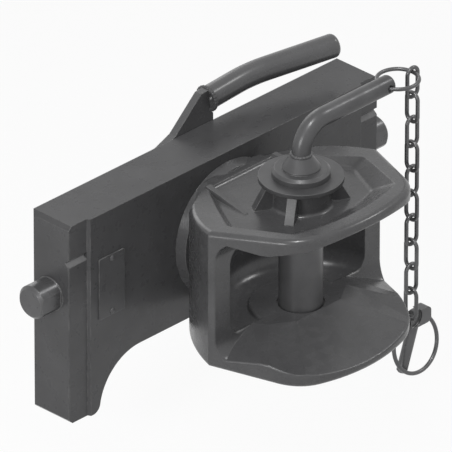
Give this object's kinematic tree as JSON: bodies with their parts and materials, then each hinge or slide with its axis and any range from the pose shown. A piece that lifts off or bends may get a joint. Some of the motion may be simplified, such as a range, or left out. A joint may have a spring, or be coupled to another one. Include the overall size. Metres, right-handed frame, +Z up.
{
  "type": "trailer hitch",
  "caption": "Height-adjustable trailer hitch: a carrier plate that locks between rails by lever-drawn bolts, with a turning clevis jaw, a lift-out coupling pin, and a linchpin on a chain.",
  "frame": {"origin": "on the jaw's turning axis, in the front face of the carrier plate", "axes": "+X along the carrier plate to the side the pin's handle points, +Y backwards to the vehicle, +Z up along the rails"},
  "size_m": [0.3502, 0.2159, 0.2485],
  "materials": {
    "plate_paint": "dark grey satin paint over machined plate",
    "casting_paint": "dark grey satin paint over cast skin",
    "lever_paint": "dark grey satin paint",
    "tag_metal": "dark grey painted over, blank",
    "bolt_steel": "dark turned steel, oiled",
    "spring_steel": "dark spring steel",
    "bush_steel": "ground steel",
    "nut_steel": "dark phosphated steel",
    "pin_steel": "dark hardened steel, turned",
    "wire_steel": "dark steel wire"
  },
  "bodies": {
    "carrier": {"carrier_plate": "plate_paint", "type_plate": "tag_metal", "type_plate_rivets": "tag_metal", "shank_bush": "bush_steel", "lever_circlip": "spring_steel", "bolt_spring_left": "spring_steel", "bolt_spring_right": "spring_steel"},
    "lever": {"lever_plate": "lever_paint", "lever_tube": "lever_paint"},
    "bolt_right": {"lock_bolt_right": "bolt_steel", "drive_pin_right": "bolt_steel"},
    "bolt_left": {"lock_bolt_left": "bolt_steel", "drive_pin_left": "bolt_steel"},
    "jaw": {"jaw": "casting_paint", "pin_bush_upper": "bush_steel", "pin_bush_lower": "bush_steel", "thrust_washer": "nut_steel", "disc_spring": "spring_steel", "castle_nut": "nut_steel", "split_pin": "nut_steel"},
    "washer": {"wear_washer": "nut_steel"},
    "pin": {"coupling_pin": "pin_steel", "pin_handle": "pin_steel"},
    "ring": {"handle_ring": "wire_steel"},
    "link_01": {"chain_link_01": "wire_steel"},
    "link_02": {"chain_link_02": "wire_steel"},
    "link_03": {"chain_link_03": "wire_steel"},
    "link_04": {"chain_link_04": "wire_steel"},
    "link_05": {"chain_link_05": "wire_steel"},
    "link_06": {"chain_link_06": "wire_steel"},
    "link_07": {"chain_link_07": "wire_steel"},
    "link_08": {"chain_link_08": "wire_steel"},
    "link_09": {"chain_link_09": "wire_steel"},
    "link_10": {"chain_link_10": "wire_steel"},
    "linch_pin": {"linch_pin": "wire_steel"},
    "linch_ring": {"linch_pin_ring": "wire_steel"}
  },
  "joints": [
    {"name": "jaw_swivel", "type": "hinge", "parent": "carrier", "child": "jaw", "pos_m": [0, 0, 0], "axis": [0, -1, 0], "continuous": true},
    {"name": "lever_turn", "type": "hinge", "parent": "carrier", "child": "lever", "pos_m": [0, 0.043, 0], "axis": [0, -1, 0], "range_deg": [0, 35], "stiffness_Nm_per_rad": 8, "springref_deg": -17.19},
    {"name": "bolt_right_slide", "type": "slide", "parent": "carrier", "child": "bolt_right", "axis": [-1, 0, 0], "range_m": [0, 0.02], "deforming": ["bolt_spring_right"]},
    {"name": "bolt_left_slide", "type": "slide", "parent": "carrier", "child": "bolt_left", "axis": [1, 0, 0], "range_m": [0, 0.02], "deforming": ["bolt_spring_left"]},
    {"name": "pin_turn", "type": "hinge", "parent": "jaw", "child": "washer", "pos_m": [0, -0.0726, 0.068], "axis": [0, 0, 1], "range_deg": [-205, 25]},
    {"name": "pin_lift", "type": "slide", "parent": "washer", "child": "pin", "axis": [0, 0, 1], "range_m": [0, 0.15]},
    {"name": "ring_swing", "type": "hinge", "parent": "pin", "child": "ring", "pos_m": [0.0833, -0.0726, 0.1074], "axis": [0, -1, 0], "range_deg": [0, 75]},
    {"name": "link_01_swing", "type": "hinge", "parent": "ring", "child": "link_01", "pos_m": [0.11245, -0.0726, 0.1074], "axis": [0, 1, 0], "range_deg": [-60, 5]},
    {"name": "link_02_swing", "type": "hinge", "parent": "link_01", "child": "link_02", "pos_m": [0.11245, -0.0726, 0.08755], "axis": [-1, 0, 0], "range_deg": [-14, 60]},
    {"name": "link_03_swing", "type": "hinge", "parent": "link_02", "child": "link_03", "pos_m": [0.11245, -0.0726, 0.06775], "axis": [0, -1, 0], "range_deg": [-7, 60]},
    {"name": "link_04_swing", "type": "hinge", "parent": "link_03", "child": "link_04", "pos_m": [0.11245, -0.0726, 0.04795], "axis": [1, 0, 0], "range_deg": [-60, 17]},
    {"name": "link_05_swing", "type": "hinge", "parent": "link_04", "child": "link_05", "pos_m": [0.11245, -0.0726, 0.02815], "axis": [0, 1, 0], "range_deg": [-60, 10]},
    {"name": "link_06_swing", "type": "hinge", "parent": "link_05", "child": "link_06", "pos_m": [0.11245, -0.0726, 0.00835], "axis": [-1, 0, 0], "range_deg": [-22, 60]},
    {"name": "link_07_swing", "type": "hinge", "parent": "link_06", "child": "link_07", "pos_m": [0.11245, -0.0726, -0.01145], "axis": [0, -1, 0], "range_deg": [-18, 60]},
    {"name": "link_08_swing", "type": "hinge", "parent": "link_07", "child": "link_08", "pos_m": [0.11245, -0.0726, -0.03125], "axis": [1, 0, 0], "range_deg": [-60, 31]},
    {"name": "link_09_swing", "type": "hinge", "parent": "link_08", "child": "link_09", "pos_m": [0.11245, -0.0726, -0.05105], "axis": [0, 1, 0], "range_deg": [-60, 40]},
    {"name": "link_10_swing", "type": "hinge", "parent": "link_09", "child": "link_10", "pos_m": [0.11245, -0.0726, -0.07085], "axis": [-1, 0, 0], "range_deg": [-55, 60]},
    {"name": "linch_pin_swing", "type": "hinge", "parent": "link_10", "child": "linch_pin", "pos_m": [0.11245, -0.0726, -0.09065], "axis": [0, 1, 0], "range_deg": [-30, 60]},
    {"name": "linch_ring_swing", "type": "hinge", "parent": "linch_pin", "child": "linch_ring", "pos_m": [0.11245, -0.0726, -0.09625], "axis": [-1, 0, 0], "range_deg": [0, 90]}
  ],
  "couplings": [
    {"joint": "bolt_right_slide", "follows": "lever_turn", "m_per_rad": 0.03274},
    {"joint": "bolt_left_slide", "follows": "lever_turn", "m_per_rad": 0.03274}
  ]
}
